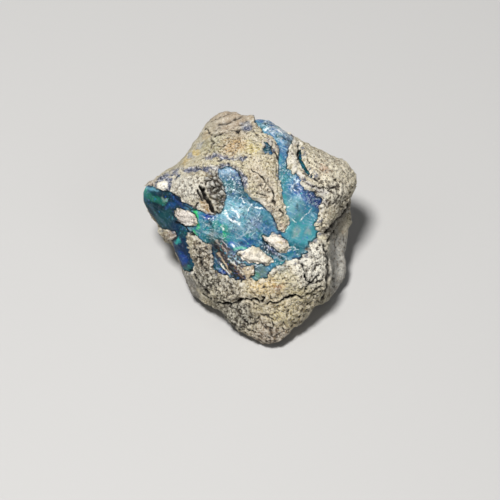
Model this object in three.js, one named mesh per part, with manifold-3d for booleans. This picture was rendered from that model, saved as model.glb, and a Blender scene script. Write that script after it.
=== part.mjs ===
// Rough fire opal: a lump of tan host rock with a sheet of blue-green precious opal bared
// in one face. Millimetres, +Z up, resting on a flat break.
//
// The lump is shaped in a face frame, whose origin lies inside it: u runs to the right across
// the bared face, v up the face and w out of it. The finished stone is tipped back from there
// onto its flat break.
import * as THREE from 'three';
import { mergeVertices } from 'three/addons/utils/BufferGeometryUtils.js';
import { ImprovedNoise } from 'three/addons/math/ImprovedNoise.js';
import Module from 'manifold-3d';

const wasm = await Module();
wasm.setup();

// ---- Driving dimensions ----

const centreHeight = 13; // the face frame's origin above the flat break
const faceTilt = 35; // degrees between the bared face and the ground
const opalThickness = 5.5; // the opal sheet, square to the face
const crustLedge = 0.6; // how far the host rock stands above the bared opal
const jointGap = 0.3; // clearance between the opal and its pocket
const skinDetail = 15; // splits along each edge of the icosahedron that the skin starts from
const frontBias = 0.22; // how far that icosahedron's points are drawn round to the front
const beyond = 80; // longer than the stone, for the blocks that cut it
const skinLumps = [{ size: 8, height: 0.75 }, { size: 2.6, height: 0.3 }];
const backLedges = { spacing: 5.2, height: 1.3 }; // steps where the rock split along its beds
const sheetUnderside = { splits: 10, lumpSize: 5, lumpHeight: 0.8, lowest: -1 }; // the opal's hidden side

// ---- Outlines on the face: [u, v], or [u, v, w] for the rim ----

// The rim of the stone as seen square to the face, from its left tip round by the crown.
const rimPoints = [
  [-20.3, 8, 0.5], [-17, 9.9, -1.5], [-13.9, 11.9, -3], [-11.9, 14.5, -4], [-9.8, 17.6, -5],
  [-8.1, 20.4, -5], [-5.8, 22, -4.5], [-4, 22.4, -4], [-2.9, 21.9, -3.5], [-1.1, 21.7, -2.5],
  [1.5, 21.2, -1], [4, 20.4, -0.5], [6.7, 18.8, 0], [9.1, 16.6, 0.5], [11, 15.7, -0.5],
  [14.2, 14.2, -1], [17.4, 12.9, -1.5], [19.2, 11.6, -1.5], [20, 9.5, -1.5], [19.8, 7, -1.5],
  [18.9, 4.9, -3], [19.6, 1.1, -6], [19.6, -2.6, -7], [19.3, -5, -7], [19.7, -7.6, -7],
  [19.2, -10.6, -7], [17.7, -13.4, -6], [14.9, -15.6, -5], [12.7, -15.5, -2], [11, -17.5, -1],
  [8.4, -19.4, 0], [6.2, -21.4, 1], [4, -22.3, 1.5], [1.4, -21.4, 1], [-1.5, -19.9, 0],
  [-4.2, -18.2, -0.5], [-5.9, -16.4, -1.5], [-9.1, -15, -3.5], [-11.8, -12.4, -4.5],
  [-13.3, -8.9, -4.5], [-14.4, -5.3, -3.5], [-16.1, -2.2, -3], [-18.7, 1.8, -2], [-20.4, 5.2, -1],
];

// The bared opal. It runs past the rim on the left, where it turns round the side.
const opalOutline = [
  [0.5, 20.1], [1.8, 20.3], [4.8, 19], [6.4, 17.8], [7.7, 16.6], [8, 15.8],
  [7.3, 15.4], [7.1, 14.3], [6.8, 13.3], [7.1, 12.1], [7.7, 11], [8.6, 10.1],
  [9.1, 10.6], [8.9, 12.3], [9, 14.2], [9.5, 15.6], [9.7, 14.5], [9.8, 13.3], [10.5, 11.8],
  [11.3, 10.4], [12.2, 9.4], [11.3, 8.8], [10.4, 9.2], [9.4, 9], [9.9, 7.8], [11.1, 6.9],
  [12.5, 6.1], [13.8, 5.4], [13.6, 4.2], [13.3, 2.8], [12.8, 1.5], [12.3, 0.4], [12.9, -0.7],
  [12.8, -1.9], [11.4, -2.5], [11, -3.6], [10.6, -4.9], [9.8, -5.8], [8.4, -6.1], [7, -6.6],
  [5.6, -7], [4.7, -7.8], [3.6, -8.7], [2.8, -9.5], [1.4, -10.2], [-0.4, -10.4], [-2.4, -10.1],
  [-3.8, -9.5], [-5.2, -8.9], [-6.9, -8], [-6.9, -6.4], [-7.3, -4.6], [-7.4, -3.1], [-8.6, -2.7],
  [-9.8, -2.1], [-10.8, -0.9], [-11.5, -0.6], [-12, -1.9], [-11.8, -3.4], [-11.2, -5.2],
  [-10.4, -8], [-11.7, -8.3], [-13.6, -7.6], [-16.4, -5.4], [-16.9, -2.9],
  [-14.7, -2.7], [-13.8, -1.7], [-14.4, -0.5], [-16.5, 0], [-18.7, -0.6], [-22, 4.4],
  [-21.7, 7.6], [-19.6, 7.9], [-18.2, 8], [-16.9, 6.8], [-15.8, 6.8], [-15.2, 7.4],
  [-15.3, 8.8], [-14.9, 9.9], [-13.4, 10.9], [-12.4, 10.6], [-13.3, 9.6], [-14.4, 9],
  [-15, 8.1], [-15, 6.9], [-14, 6.2], [-13, 5.6], [-12.4, 4.7], [-11.8, 3.9], [-10.3, 3.5],
  [-9.6, 3.2], [-8.2, 2.5], [-6.8, 2.3], [-5.8, 2.7], [-5.1, 3.9], [-4.6, 5.3], [-4.5, 6.7],
  [-4.8, 8], [-5.3, 9.3], [-5.9, 10.2], [-5.8, 11.2], [-4.3, 11.4], [-3, 11.1], [-2.2, 10.1],
  [-1.7, 8.8], [-1.4, 7.4], [-0.7, 6.5], [0.3, 5.4], [1.5, 4.8], [2.7, 3.9], [3.8, 2.9],
  [4.6, 1.8], [4.9, 0.6], [5.2, -0.4], [6, -1], [6.8, -0.2], [7.3, 1.4], [6.8, 2.7], [6.2, 4.8],
  [5.9, 6.8], [5.5, 8.9], [5.2, 10.8], [5.2, 12.7], [4.3, 13.6], [2.9, 13.9], [2.1, 15],
  [2.3, 16], [3, 16.6], [2.5, 18], [1.4, 19.5],
];

// Host rock left standing inside the bared opal.
const rockIslands = {
  squareChip: [
    [-14.2, 3.1], [-13, 3.8], [-11.8, 3.4], [-10.6, 3], [-10.1, 1.8], [-10, 0.2], [-11, 0],
    [-12.3, 0.6], [-13.5, 1],
  ],
  tipChip: [
    [2.3, -1.3], [3.6, -1.6], [5.2, -1.6], [6.2, -1.9], [7, -2.5], [7.3, -3.6], [6.6, -4.6],
    [5.3, -4.7], [4.4, -3.7], [3.2, -3.2], [2.4, -2.4],
  ],
  almondChip: [
    [-2.6, -4.7], [-1.2, -4.3], [0.4, -3.5], [1.9, -3.7], [3.1, -4.7], [4.6, -5.9], [3.4, -7],
    [1.8, -6.7], [-0.2, -6.5], [-1.6, -5.7],
  ],
  foldChip: [
    [-2.6, -7.3], [-1, -7.5], [0.9, -7.2], [0.8, -8.5], [0.2, -9.7], [-0.6, -9.8], [-1.6, -8.7],
  ],
};

// Areas that lie lower than the face in front of them, behind a broken edge.
const setBacks = [
  {
    name: 'right shoulder, behind the overhanging crust',
    outline: [
      [20.5, 4.2], [17.5, 3.6], [16, 1.9], [14.6, -0.2], [14.2, -1.5], [14.6, -3.4], [14.4, -5.3],
      [14.8, -7.6], [14.6, -9.9], [13.9, -12.2], [13.1, -14.2], [13.5, -17], [22, -17], [23, 4],
    ],
    drop: 7.5,
    ramp: 1.3,
  },
  {
    name: 'crown, above the crust',
    outline: [
      [-8.6, 16.2], [-6.5, 17.5], [-5.2, 18], [-3.5, 18.4], [-1.6, 18.6], [-0.4, 19.3], [0.2, 21],
      [0.6, 24], [-6, 25], [-12, 20],
    ],
    drop: 1.1,
    ramp: 0.5,
  },
  {
    name: 'lower left flank',
    outline: [
      [-11.2, -7.6], [-10.3, -8.7], [-9.1, -10.4], [-8, -12], [-6.8, -13.3], [-5.5, -14.8],
      [-7, -18], [-16, -15], [-15, -6],
    ],
    drop: 3.5,
    ramp: 1.2,
  },
];

// ---- Broken faces ----

// Faces of the front: a point on each, the compass turn in which it falls away (0 is to the
// right, 90 up the face) and how steeply.
const frontFaces = [
  { name: 'middle', at: [0, 0, 8.6], fall: -60, slope: 3 },
  { name: 'crown', at: [-3.6, 15.6, 8], fall: 122, slope: 46 },
  { name: 'top, where the opal comes over', at: [4.2, 18, 7], fall: 72, slope: 42 },
  { name: 'top right', at: [13.3, 12.6, 7.4], fall: 64, slope: 40 },
  { name: 'right cheek', at: [16.9, 8.2, 7.4], fall: 4, slope: 50 },
  { name: 'right edge', at: [12.8, -5, 7.9], fall: -8, slope: 20 },
  { name: 'lower right', at: [10, -13, 7.6], fall: -48, slope: 34 },
  { name: 'foot', at: [1, -13.7, 8], fall: -92, slope: 30 },
  { name: 'lower left', at: [-4.8, -12.2, 7.8], fall: -128, slope: 36 },
  { name: 'left opal, low', at: [-11, -4, 7.4], fall: 205, slope: 44 },
  { name: 'left opal, high', at: [-12.4, 4.4, 7.9], fall: 188, slope: 42 },
  { name: 'left shoulder', at: [-14, 10.2, 6.6], fall: 112, slope: 46 },
];
// Faces of the back: the turn and the tilt away from straight back of each one's outward
// direction, and its distance from the face frame's origin.
const backFaces = [
  { name: 'flat break', turn: -90, tilt: faceTilt, reach: centreHeight + 0.9 },
  { name: 'rear', turn: 96, tilt: 14, reach: 17.8 },
  { name: 'rear crown', turn: 78, tilt: 55, reach: 20.2 },
  { name: 'rear crown left', turn: 140, tilt: 50, reach: 19.4 },
  { name: 'rear right', turn: 14, tilt: 52, reach: 20 },
  { name: 'rear left', turn: 188, tilt: 50, reach: 20.6 },
  { name: 'under right', turn: -38, tilt: 52, reach: 18 },
  { name: 'under left', turn: -138, tilt: 46, reach: 15.6 },
];
const edgeSoftness = { front: 0.7, back: 1.1 }; // how widely two broken faces blend
const rimRoundness = { front: 3, back: 2.3 }; // superellipse power: higher is squarer

// Single swellings (or, below zero, hollows) of the front, in millimetres.
const swellings = [
  { name: 'domed opal', at: [-2.4, 2], radius: 3.4, height: 1.1 },
  { name: 'dip below the dome', at: [-4.6, -4], radius: 2, height: -0.9 },
  { name: 'right band hollow', at: [9.6, -0.5], radius: 3, height: -0.5 },
  { name: 'rock tongue', at: [1.4, 10.5], radius: 2.6, height: 0.7 },
  { name: 'tongue end', at: [4.8, 4.8], radius: 1.8, height: 0.4 },
  { name: 'upper rock', at: [-5.6, 14], radius: 3, height: 0.6 },
  { name: 'right block', at: [14.2, 9.6], radius: 3.4, height: 0.7 },
  { name: 'hip', at: [9, -10.5], radius: 3.6, height: 0.8 },
  { name: 'belly', at: [-2.6, -12], radius: 2.6, height: 0.6 },
  { name: 'hollow over the foot', at: [2.6, -16], radius: 2.6, height: -0.6 },
];

// Open fractures in the rock: a centreline on the face, the width at its middle, and its depth.
const fractures = [
  {
    name: 'long crack, left part', width: 0.9, depth: 2.2,
    line: [[-7.8, -12.7], [-6.3, -13.3], [-4.8, -14.1], [-3.4, -14.3], [-1.5, -13.7],
      [0.4, -13.9], [2.3, -13.6], [3.4, -13.8]],
  },
  {
    name: 'long crack, right part', width: 0.75, depth: 2,
    line: [[5.5, -14.1], [6.7, -13.5], [7.8, -12.9], [9.3, -13], [11, -12.3], [12.9, -11.2]],
  },
  {
    name: 'forked crack', width: 0.7, depth: 1.8,
    line: [[9.9, -6.5], [10.3, -8], [10.4, -9.7], [11.6, -10.6], [12.7, -9.1]],
  },
  {
    name: 'tongue crack', width: 0.7, depth: 1.5,
    line: [[0.6, 10.8], [1.9, 9.9], [2.7, 8.6], [3.6, 7.6], [4.2, 6.1], [4.4, 4.4], [5.5, 3.2]],
  },
  {
    name: 'crown crack', width: 0.9, depth: 2.2,
    line: [[-6.3, 17.5], [-5.1, 18], [-3.6, 18.3], [-1.9, 18.6], [-0.4, 19]],
  },
  {
    name: 'dark slot', width: 1.9, depth: 3,
    line: [[-9.1, 8.2], [-8.3, 6.9], [-7.6, 5.6], [-6.9, 4.3], [-6.3, 3.1]],
  },
  {
    name: 'gap under the overhang', width: 1.9, depth: 3.4,
    line: [[18.8, 5], [17.9, 3], [16.8, 1.4], [15.6, 0.2], [14.3, -0.8]],
  },
  {
    name: 'gap beside the shoulder', width: 0.8, depth: 2.2,
    line: [[14.9, -11.4], [14.2, -12.6], [13.3, -13.9], [12.6, -15]],
  },
];

// Pits in the rock: [u, v] on the face and the radius.
const pits = [
  [-4.6, 12.6, 0.85], [12.2, 12.8, 0.9], [12.6, -8.2, 0.8], [8.2, -9.4, 0.95],
  [3.4, -11.8, 0.9], [4.6, -16.8, 0.9],
];

// ---- Small maths ----

const radians = THREE.MathUtils.degToRad;
const noise = new ImprovedNoise();

// Two layers of noise, between about -1 and 1, with the larger one's lumps `size` across.
function roughness(x, y, z, size) {
  const fine = 2.1 / size;
  return noise.noise(x / size, y / size, z / size)
    + 0.5 * noise.noise(x * fine + 7.3, y * fine + 3.1, z * fine + 11.7);
}

// A softened minimum: the lowest of the heights, blended where two are close.
function softLowest(heights, softness) {
  const lowest = Math.min(...heights);
  const sum = heights.reduce((s, h) => s + Math.exp((lowest - h) / softness), 0);
  return lowest - softness * Math.log(sum);
}

// How far [u, v] lies inside an outline; negative outside it.
function depthInside(outline, u, v) {
  let nearest = Infinity;
  let inside = false;
  outline.forEach(([u1, v1], i) => {
    const [u2, v2] = outline[(i + 1) % outline.length];
    const along = ((u - u1) * (u2 - u1) + (v - v1) * (v2 - v1)) / ((u2 - u1) ** 2 + (v2 - v1) ** 2);
    const t = THREE.MathUtils.clamp(along, 0, 1);
    nearest = Math.min(nearest, Math.hypot(u - u1 - t * (u2 - u1), v - v1 - t * (v2 - v1)));
    if (v1 > v !== v2 > v && u < u1 + ((v - v1) * (u2 - u1)) / (v2 - v1)) inside = !inside;
  });
  return inside ? nearest : -nearest;
}

// ---- The skin of the stone ----

const rimCurve = new THREE.CatmullRomCurve3(
  rimPoints.map((p) => new THREE.Vector3(...p)), true, 'centripetal',
);
const rimSamples = rimCurve.getPoints(720)
  .map((p) => ({ turn: Math.atan2(p.y, p.x), radius: Math.hypot(p.x, p.y), depth: p.z }))
  .sort((a, b) => a.turn - b.turn);

// The rim's distance from the w axis and its place along it, at a turn about that axis.
function rimAt(turn) {
  let low = 0;
  let high = rimSamples.length - 1;
  while (low < high) {
    const middle = (low + high) >> 1;
    if (rimSamples[middle].turn < turn) low = middle + 1;
    else high = middle;
  }
  return rimSamples[low];
}

function frontHeight(u, v) {
  const heights = frontFaces.map(({ at, fall, slope }) => {
    const downhill = (u - at[0]) * Math.cos(radians(fall)) + (v - at[1]) * Math.sin(radians(fall));
    return at[2] - downhill * Math.tan(radians(slope));
  });
  let height = softLowest(heights, edgeSoftness.front);
  for (const { at, radius, height: rise } of swellings) {
    const away = Math.hypot(u - at[0], v - at[1]) / radius;
    height += rise * Math.exp(-away * away);
  }
  for (const { outline, drop, ramp } of setBacks) {
    height -= drop * THREE.MathUtils.smoothstep(depthInside(outline, u, v), 0, ramp);
  }
  return height;
}

function backHeight(u, v) {
  const depths = backFaces.map(({ turn, tilt, reach }) => {
    const sideways = u * Math.cos(radians(turn)) + v * Math.sin(radians(turn));
    return (reach - sideways * Math.sin(radians(tilt))) / Math.cos(radians(tilt));
  });
  return -softLowest(depths, edgeSoftness.back);
}

// The point of the skin that lies in a direction, given as a unit vector in the face frame.
function skinPoint(direction) {
  const rim = rimAt(Math.atan2(direction.y, direction.x));
  const spread = Math.min(1, Math.hypot(direction.x, direction.y));
  const u = rim.radius * direction.x;
  const v = rim.radius * direction.y;
  const isFront = direction.z >= 0;
  const power = isFront ? rimRoundness.front : rimRoundness.back;
  const rise = (1 - spread ** power) ** (1 / power);
  const side = isFront ? frontHeight(u, v) : backHeight(u, v);
  const point = new THREE.Vector3(u, v, rim.depth + (side - rim.depth) * rise);
  let relief = isFront ? 0 : backLedges.height * ledge(point);
  for (const { size, height } of skinLumps) {
    relief += height * roughness(u, v, point.z, size);
  }
  // The rim has its own lumps, so the relief dies away towards it.
  return point.addScaledVector(direction, relief * (1 - 0.75 * spread ** 6));
}

// A step's height, 0 to 1, at a point of the back: slow up, then steeply down.
function ledge(point) {
  const acrossBeds = 0.8 * point.y + 0.35 * point.z - 0.45 * point.x;
  const bed = (acrossBeds + roughness(point.x, point.y, point.z, 6)) / backLedges.spacing;
  const place = bed - Math.floor(bed);
  return THREE.MathUtils.smoothstep(place, 0, 0.75) - THREE.MathUtils.smoothstep(place, 0.8, 1);
}

// ---- Solids ----

// A closed geometry as a manifold-3d solid.
function solidOf(geometry) {
  const bare = new THREE.BufferGeometry();
  bare.setAttribute('position', geometry.getAttribute('position').clone());
  if (geometry.index) bare.setIndex(geometry.index);
  const welded = mergeVertices(bare, 1e-4);
  return new wasm.Manifold(new wasm.Mesh({
    numProp: 3,
    vertProperties: welded.getAttribute('position').array,
    triVerts: new Uint32Array(welded.index.array),
  }));
}

// A solid as a geometry, with flat-shaded faces.
function geometryOf(solid) {
  const { vertProperties, triVerts } = solid.getMesh();
  const geometry = new THREE.BufferGeometry();
  geometry.setAttribute('position', new THREE.BufferAttribute(vertProperties, 3));
  geometry.setIndex(new THREE.BufferAttribute(triVerts, 1));
  const faceted = geometry.toNonIndexed();
  faceted.computeVertexNormals();
  return faceted;
}

// The largest of a solid's separate bodies: a cut can leave crumbs.
function largestBody(solid) {
  return solid.decompose().reduce((a, b) => (a.volume() > b.volume() ? a : b));
}

// The whole lump, with its skin lowered by `sunk`. More of its points go to the front.
function lump(sunk) {
  const geometry = mergeVertices(barePositions(new THREE.IcosahedronGeometry(1, skinDetail)), 1e-4);
  const position = geometry.getAttribute('position');
  const direction = new THREE.Vector3();
  for (let i = 0; i < position.count; i++) {
    direction.fromBufferAttribute(position, i);
    direction.z += frontBias;
    direction.normalize();
    const point = skinPoint(direction);
    point.addScaledVector(direction, -sunk);
    position.setXYZ(i, point.x, point.y, point.z);
  }
  return solidOf(geometry);
}

function barePositions(geometry) {
  return new THREE.BufferGeometry().setAttribute('position', geometry.getAttribute('position'));
}

// An outline moved outwards by a distance (inwards if it is negative).
function grown(outline, distance) {
  const points = outline.map(([u, v]) => new THREE.Vector2(u, v));
  const turnSign = THREE.ShapeUtils.isClockWise(points) ? -1 : 1;
  return points.map((point, i) => {
    const before = points[(i + points.length - 1) % points.length];
    const after = points[(i + 1) % points.length];
    const first = point.clone().sub(before).normalize();
    const second = after.clone().sub(point).normalize();
    const outward = first.add(second).normalize().multiplyScalar(turnSign);
    return [point.x + outward.y * distance, point.y - outward.x * distance];
  });
}

// A straight-walled prism over an outline, from one end of w to the other.
function prism(outline, length) {
  const shape = new THREE.Shape(outline.map(([u, v]) => new THREE.Vector2(u, v)));
  const geometry = new THREE.ExtrudeGeometry(shape, { depth: length, bevelEnabled: false });
  return solidOf(geometry.translate(0, 0, -length / 2));
}

// All that lies above a rough floor, which follows the front `below` under it.
function aboveFloor(below) {
  const { splits, lumpSize, lumpHeight, lowest } = sheetUnderside;
  const width = 0.7 * beyond;
  const geometry = new THREE.BoxGeometry(width, width, beyond, splits, splits, 1);
  const position = geometry.getAttribute('position');
  for (let i = 0; i < position.count; i++) {
    if (position.getZ(i) > 0) continue;
    const [u, v] = [position.getX(i), position.getY(i)];
    const rough = lumpHeight * roughness(u, v, 0, lumpSize);
    position.setZ(i, Math.max(frontHeight(u, v), lowest) - below + rough);
  }
  return solidOf(geometry);
}

// A fracture as a sliver-shaped wedge, reaching `depth` below the front along its line.
function fractureCut({ line, width, depth }) {
  const last = line.length - 1;
  const sides = line.map(([u, v], i) => {
    const [u1, v1] = line[Math.max(0, i - 1)];
    const [u2, v2] = line[Math.min(last, i + 1)];
    const length = Math.hypot(u2 - u1, v2 - v1);
    const half = (width / 2) * Math.sin((Math.PI * (i + 0.35)) / (last + 0.7));
    return [(v1 - v2) / length * half, (u2 - u1) / length * half];
  });
  const left = line.map(([u, v], i) => [u + sides[i][0], v + sides[i][1]]);
  const right = line.map(([u, v], i) => [u - sides[i][0], v - sides[i][1]]).reverse();
  const geometry = new THREE.ExtrudeGeometry(
    new THREE.Shape([...left, ...right].map(([u, v]) => new THREE.Vector2(u, v))),
    { depth: 1, steps: 1, bevelEnabled: false },
  );
  const position = geometry.getAttribute('position');
  for (let i = 0; i < position.count; i++) {
    const [u, v] = [position.getX(i), position.getY(i)];
    position.setZ(i, position.getZ(i) > 0.5 ? beyond : frontHeight(u, v) - depth);
  }
  return solidOf(geometry);
}

// A pit: a small faceted ball whose middle lies on the front, each turned another way.
function pitCut([u, v, radius]) {
  const geometry = new THREE.IcosahedronGeometry(radius, 0).scale(1, 1, 1.4).rotateZ(u);
  return solidOf(geometry.translate(u, v, frontHeight(u, v)));
}

// ---- The two pieces ----

// The opal sheet's room in the rock, with its outlines moved outwards by `gap`.
function sheetRoom(gap) {
  let room = prism(grown(opalOutline, gap), beyond);
  for (const island of Object.values(rockIslands)) {
    room = room.subtract(prism(grown(island, -gap), beyond + 1));
  }
  return room.intersect(aboveFloor(opalThickness + gap));
}

// All that lies under the flat break, which is square to the ground's upward direction.
function belowBreak() {
  const geometry = new THREE.BoxGeometry(beyond, beyond, beyond);
  geometry.translate(0, 0, -centreHeight - beyond / 2);
  return solidOf(geometry.rotateX(-radians(faceTilt)));
}

function makeOpal() {
  return largestBody(lump(crustLedge).intersect(sheetRoom(0)).subtract(belowBreak()));
}

function makeHostRock() {
  let rock = lump(0).subtract(sheetRoom(jointGap));
  for (const fracture of fractures) rock = rock.subtract(fractureCut(fracture));
  for (const pit of pits) rock = rock.subtract(pitCut(pit));
  return largestBody(rock.subtract(belowBreak()));
}

function piece(name, solid, color, roughness) {
  const material = new THREE.MeshStandardMaterial({ name, color, roughness, metalness: 0 });
  const mesh = new THREE.Mesh(geometryOf(solid), material);
  mesh.name = name;
  return mesh;
}

const stone = new THREE.Group();
stone.rotation.x = radians(faceTilt);
stone.position.z = centreHeight;
stone.add(
  piece('host_rock', makeHostRock(), 0xb9ab8c, 0.92),
  piece('opal', makeOpal(), 0x2f86a0, 0.15),
);

export default stone;
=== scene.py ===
import math

import bpy
import numpy as np
from mathutils import Matrix, Vector
from mathutils.bvhtree import BVHTree
from mathutils.kdtree import KDTree


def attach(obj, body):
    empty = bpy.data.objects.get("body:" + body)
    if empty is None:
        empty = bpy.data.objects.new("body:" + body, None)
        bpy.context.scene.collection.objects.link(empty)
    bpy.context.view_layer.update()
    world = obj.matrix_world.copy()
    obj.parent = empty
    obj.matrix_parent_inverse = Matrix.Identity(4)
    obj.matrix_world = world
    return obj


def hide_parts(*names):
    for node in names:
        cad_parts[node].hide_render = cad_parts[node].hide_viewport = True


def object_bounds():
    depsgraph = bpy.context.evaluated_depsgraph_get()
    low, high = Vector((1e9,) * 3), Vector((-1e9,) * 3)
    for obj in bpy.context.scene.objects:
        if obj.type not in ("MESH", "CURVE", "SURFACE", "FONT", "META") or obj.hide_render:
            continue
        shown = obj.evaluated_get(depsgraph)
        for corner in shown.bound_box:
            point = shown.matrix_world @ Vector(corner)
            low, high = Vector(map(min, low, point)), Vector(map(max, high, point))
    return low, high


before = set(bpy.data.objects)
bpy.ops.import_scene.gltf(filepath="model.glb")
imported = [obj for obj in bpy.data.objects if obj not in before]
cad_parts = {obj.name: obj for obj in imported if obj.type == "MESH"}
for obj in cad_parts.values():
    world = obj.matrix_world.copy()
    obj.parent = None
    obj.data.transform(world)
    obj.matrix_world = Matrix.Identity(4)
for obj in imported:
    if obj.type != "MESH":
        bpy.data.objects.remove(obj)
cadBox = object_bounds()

# A rough opal: a lump of tan host rock, with blue-green opal bared in one face.
# The stone is shaped in a face frame in millimetres: u to the right across the bared face,
# v up the face and w out of it. It leans back from there onto its flat break.
# In the tables lengths are in tenths of a millimetre, turns in degrees, strengths and colours in hundredths.
# A line is a flat list: u, v, u, v and so on. A zone is a row: u, v, half-width, half-height, turn,
# strength, and where it paints its red, green and blue.
face = {
    "tilt": 35,             # degrees from the ground
    "centreHeight": 0.013,  # metres, the face frame's origin above the flat break
}
faceToRow = (
    Matrix.Translation((0, 0, face["centreHeight"]))
    @ Matrix.Rotation(math.radians(face["tilt"]), 4, "X")
    @ Matrix.Scale(0.001, 4)
)
rowToFace = faceToRow.inverted()
farAway = 60    # millimetres, outside the stone in every direction
depthSlack = 3  # millimetres that the skin may lie above or below what is laid on the face


def moved(points, matrix):
    m = np.array(matrix)
    return points @ m[:3, :3].T + m[:3, 3]


def unit(vectors):
    return vectors / np.linalg.norm(vectors, axis=-1, keepdims=True)


def rise(values, low, high):  # smoothly from 0 at low to 1 at high
    t = np.clip((values - low) / (high - low), 0, 1)
    return t * t * (3 - 2 * t)


def fade(values, low, high):  # from 1 to 0
    return 1 - rise(values, low, high)


# Noise over points, in millimetres

def cellHash(x, y, z, seed):  # a repeatable number from 0 to 1 for each whole cell
    n = (x * 73856093) ^ (y * 19349663) ^ (z * 83492791) ^ (seed * 951274213)
    n = (n ^ (n >> 13)) * 1274126177
    n = (n ^ (n >> 16)) * 668265263
    return ((n ^ (n >> 15)) & 0xFFFFF) / 0xFFFFF


def cellVector(cell, seed):
    return np.stack([cellHash(*cell.T, seed + i) for i in range(3)], axis=1)


def waves(points, size, seed):  # smooth noise between about -1 and 1
    scaled = points / size
    cell = np.floor(scaled).astype(np.int64)
    part = scaled - cell
    ease = part * part * part * (part * (part * 6 - 15) + 10)
    total = np.zeros(len(points))
    for corner in np.ndindex(2, 2, 2):
        slope = 2 * cellVector(cell + corner, seed * 3) - 1
        total += (slope * (part - corner)).sum(axis=1) * np.prod(np.where(corner, ease, 1 - ease), axis=1)
    return total * 1.6


def layeredWaves(points, size, seed, layers=3, finer=0.5):
    return sum(finer**i * waves(points, size / 2.03**i, seed + 17 * i) for i in range(layers))


def wander(points, size, seed, layers=3):  # three waves at once, to move points about
    return np.stack([layeredWaves(points, size, seed + 5 * i, layers, 0.6) for i in range(3)], axis=1)


def stir(points, amount, size, seed, layers=2):
    return points + amount * wander(points, size, seed, layers)


def cells(points, size, seed):  # how far the two nearest cell centres are, in cells, and the nearest one
    scaled = points / size
    base = np.floor(scaled).astype(np.int64)
    first = np.full(len(points), 9.0)
    second, nearest = first.copy(), base.copy()
    for step in np.ndindex(3, 3, 3):
        cell = base + step - 1
        away = np.linalg.norm(scaled - cell - cellVector(cell, seed * 5), axis=1)
        nearer = away < first
        second = np.where(nearer, first, np.minimum(second, away))
        nearest = np.where(nearer[:, None], cell, nearest)
        first = np.minimum(first, away)
    return first, second, nearest


def plates(points, size, seed):  # broken plates, each tilted its own way, with grooves between them
    near, far, cell = cells(points, size, seed)
    offset = points / size - cell - cellVector(cell, seed * 5)
    tilt = 2 * cellVector(cell, seed * 5 + 40) - 1
    height = (tilt * offset).sum(axis=1) + 0.5 * (cellHash(*cell.T, seed * 5 + 50) - 0.5)
    return height * rise(far - near, 0, 0.22) - 0.25 * fade(far - near, 0, 0.12)


def holes(points, size, radius, chance, seed):  # 1 in small round holes, 0 between them
    near, _, cell = cells(points, size, seed)
    return (cellHash(*cell.T, seed * 5 + 60) < chance) * fade(near, 0.5 * radius / size, 1.5 * radius / size)


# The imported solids, as something to cast rays at

def castTree(nodeName):
    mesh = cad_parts[nodeName].data
    corners = moved(readPoints(mesh), rowToFace)
    return BVHTree.FromPolygons(corners.tolist(), [tuple(p.vertices) for p in mesh.polygons])


def readPoints(mesh):
    numbers = np.empty(len(mesh.vertices) * 3)
    mesh.vertices.foreach_get("co", numbers)
    return numbers.reshape(-1, 3)


castTrees = castTree("host_rock"), castTree("opal")


def reachOf(tree, way):
    away = tree.ray_cast(way * farAway, -way)[3]
    return 0 if away is None else farAway - away


def castSkin(directions):  # how far out the solids reach that way, and where opal is outermost
    ways = [Vector(way) for way in directions.tolist()]
    reach = np.array([[reachOf(tree, way) for way in ways] for tree in castTrees])
    return reach.max(axis=0), reach[1] > reach[0]


def onFace(u, v):  # the point of the solids in front of the face frame's [u, v]
    start = Vector((u, v, farAway))
    hits = [tree.ray_cast(start, Vector((0, 0, -1)))[0] for tree in castTrees]
    return max((hit for hit in hits if hit), key=lambda hit: hit.z, default=Vector((u, v, 0)))


# Zones and lines laid on the face

def beyondSlack(depths, slack=depthSlack):
    return np.maximum(np.abs(depths) - slack, 0)


def zoneAxes(points, u, v, turn):  # each point's place along and across a zone's own axes
    x, y, z = (points - np.array(onFace(u / 10, v / 10))).T
    c, s = math.cos(math.radians(turn)), math.sin(math.radians(turn))
    return np.stack([c * x + s * y, c * y - s * x, z], axis=1)


def zoneShare(points, u, v, halfWidth, halfHeight, turn, strength):  # its strength within it, 0 outside it
    axes = zoneAxes(points, u, v, turn)
    axes[:, 2] = beyondSlack(axes[:, 2])
    reach = np.array([halfWidth, halfHeight, 1.6 * max(halfWidth, halfHeight)]) / 10
    return strength / 100 * fade(np.linalg.norm(axes / reach, axis=1), 0.55, 1.45)


def mostOf(points, zones):  # the strongest share of several zones
    return np.max([zoneShare(points, *zone) for zone in zones], axis=0)


def tinted(colour, tint, share):  # mixes a tint in hundredths into colours
    return colour + (np.array(tint) / 100 - colour) * share[:, None]


def paint(points, colour, zones):
    for *zone, red, green, blue in zones:
        colour = tinted(colour, (red, green, blue), zoneShare(points, *zone))
    return colour


def lineDistance(points, line, slack=depthSlack):  # distance from each point to a line laid on the stone
    closest = np.full(len(points), float(farAway))
    laid = np.array([onFace(u / 10, v / 10) for u, v in zip(line[::2], line[1::2])])
    for start, end in zip(laid, laid[1:]):
        step = end - start
        flat = (points - start)[:, :2] @ step[:2]
        along = np.clip(flat / max(step[:2] @ step[:2], 1e-6), 0, 1)
        away = points - start - along[:, None] * step
        away[:, 2] = beyondSlack(away[:, 2], slack)
        closest = np.minimum(closest, np.linalg.norm(away, axis=1))
    return closest


def lineShare(points, line, halfWidth, low=0.5, high=1.5, slack=depthSlack):  # 1 on a line, 0 away from it
    return fade(lineDistance(points, line, slack) / (halfWidth / 10), low, high)


def paintLines(points, colour, lines):  # rows: line, half-width, strength, red, green, blue
    for line, halfWidth, strength, *tint in lines:
        colour = tinted(colour, tint, strength / 100 * lineShare(points, line, halfWidth))
    return colour


# A closed net of directions, made of a cube's six faces blown up into a ball

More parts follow.
